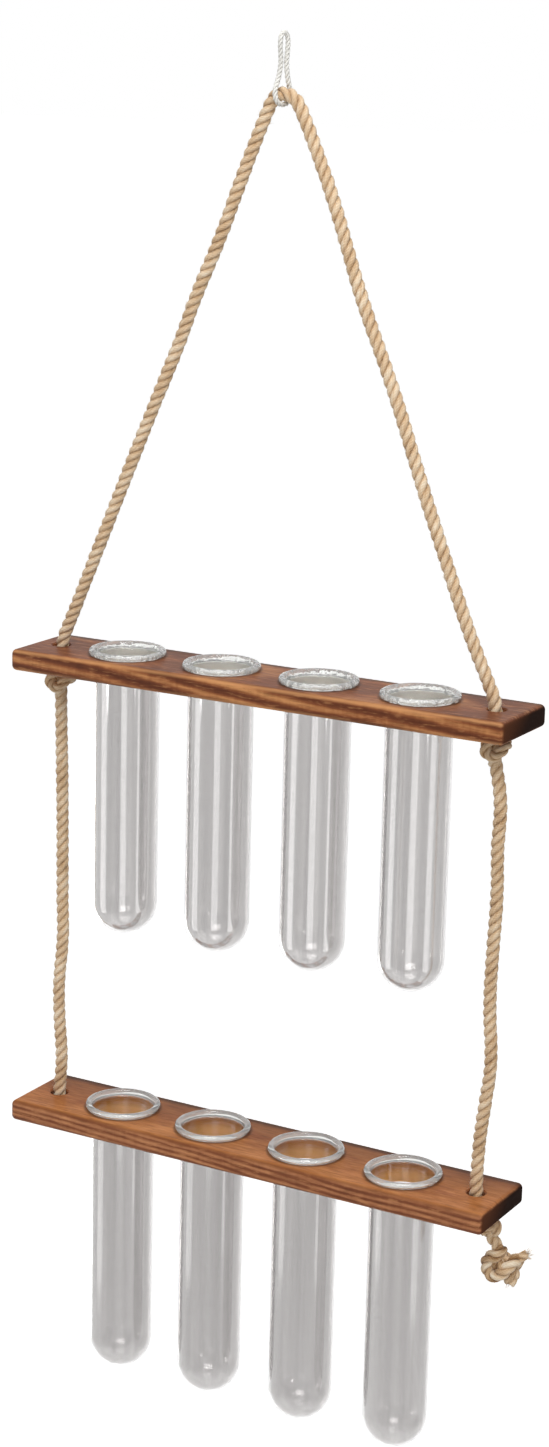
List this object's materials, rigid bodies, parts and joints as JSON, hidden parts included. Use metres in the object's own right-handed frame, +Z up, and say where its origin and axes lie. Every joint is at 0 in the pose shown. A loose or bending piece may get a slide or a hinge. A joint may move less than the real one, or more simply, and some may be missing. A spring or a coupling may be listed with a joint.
{
  "type": "hanging propagation vase",
  "caption": "Hanging propagation vase: two stained wooden bars on a knotted jute rope, each holding a row of round-bottomed glass tubes for plant cuttings.",
  "frame": {"origin": "inside of the hanging loop's top, where a hook bears", "axes": "+X along the bars to the right, +Y to the wall behind, +Z up"},
  "size_m": [0.2594, 0.044, 0.6327],
  "materials": {
    "stained_wood": "satin",
    "clear_glass": "gloss",
    "jute": "matte",
    "white_cord": "matte"
  },
  "bodies": {
    "hanger": {"hanging_loop": "white_cord"},
    "rope_crown": {"rope_crown": "jute"},
    "upper_tier": {"rope_left_leg": "jute", "rope_right_leg": "jute", "upper_bar": "stained_wood"},
    "upper_knots": {"upper_left_knot": "jute", "upper_right_knot": "jute"},
    "left_drop": {"rope_left_drop": "jute"},
    "right_drop": {"rope_right_drop": "jute"},
    "lower_tier": {"lower_bar": "stained_wood", "lower_left_knot": "jute", "lower_right_knot": "jute", "rope_tail": "jute", "tail_knot": "jute"},
    "upper_tube_1": {"upper_tube_1": "clear_glass"},
    "upper_tube_2": {"upper_tube_2": "clear_glass"},
    "upper_tube_3": {"upper_tube_3": "clear_glass"},
    "upper_tube_4": {"upper_tube_4": "clear_glass"},
    "lower_tube_1": {"lower_tube_1": "clear_glass"},
    "lower_tube_2": {"lower_tube_2": "clear_glass"},
    "lower_tube_3": {"lower_tube_3": "clear_glass"},
    "lower_tube_4": {"lower_tube_4": "clear_glass"}
  },
  "joints": [
    {"name": "frame_sway", "type": "hinge", "parent": "hanger", "child": "rope_crown", "pos_m": [0, 0, -0.03], "axis": [0, 1, 0], "range_deg": [-20, 20]},
    {"name": "frame_swing", "type": "hinge", "parent": "rope_crown", "child": "upper_tier", "pos_m": [0, 0, -0.02764], "axis": [1, 0, 0], "range_deg": [-20, 20]},
    {"name": "lower_swing", "type": "hinge", "parent": "upper_tier", "child": "upper_knots", "pos_m": [0, 0, -0.29339], "axis": [1, 0, 0], "range_deg": [-20, 20]},
    {"name": "lower_sway", "type": "hinge", "parent": "upper_knots", "child": "left_drop", "pos_m": [-0.1115, 0, -0.29339], "axis": [0, 1, 0], "range_deg": [-9, 9]},
    {"name": "right_drop_sway", "type": "hinge", "parent": "upper_knots", "child": "right_drop", "pos_m": [0.1115, 0, -0.29339], "axis": [0, 1, 0], "range_deg": [-9, 9]},
    {"name": "lower_bar_level", "type": "hinge", "parent": "left_drop", "child": "lower_tier", "pos_m": [-0.1115, 0, -0.4975], "axis": [0, 1, 0], "range_deg": [-9, 9]},
    {"name": "upper_tube_1_lift", "type": "slide", "parent": "upper_tier", "child": "upper_tube_1", "axis": [0, 0, 1], "range_m": [0, 0.028]},
    {"name": "upper_tube_2_lift", "type": "slide", "parent": "upper_tier", "child": "upper_tube_2", "axis": [0, 0, 1], "range_m": [0, 0.138]},
    {"name": "upper_tube_3_lift", "type": "slide", "parent": "upper_tier", "child": "upper_tube_3", "axis": [0, 0, 1], "range_m": [0, 0.138]},
    {"name": "upper_tube_4_lift", "type": "slide", "parent": "upper_tier", "child": "upper_tube_4", "axis": [0, 0, 1], "range_m": [0, 0.028]},
    {"name": "lower_tube_1_lift", "type": "slide", "parent": "lower_tier", "child": "lower_tube_1", "axis": [0, 0, 1], "range_m": [0, 0.07]},
    {"name": "lower_tube_2_lift", "type": "slide", "parent": "lower_tier", "child": "lower_tube_2", "axis": [0, 0, 1], "range_m": [0, 0.07]},
    {"name": "lower_tube_3_lift", "type": "slide", "parent": "lower_tier", "child": "lower_tube_3", "axis": [0, 0, 1], "range_m": [0, 0.07]},
    {"name": "lower_tube_4_lift", "type": "slide", "parent": "lower_tier", "child": "lower_tube_4", "axis": [0, 0, 1], "range_m": [0, 0.07]}
  ],
  "couplings": [
    {"joint": "right_drop_sway", "follows": "lower_sway", "ratio": 1},
    {"joint": "lower_bar_level", "follows": "lower_sway", "ratio": -1}
  ]
}
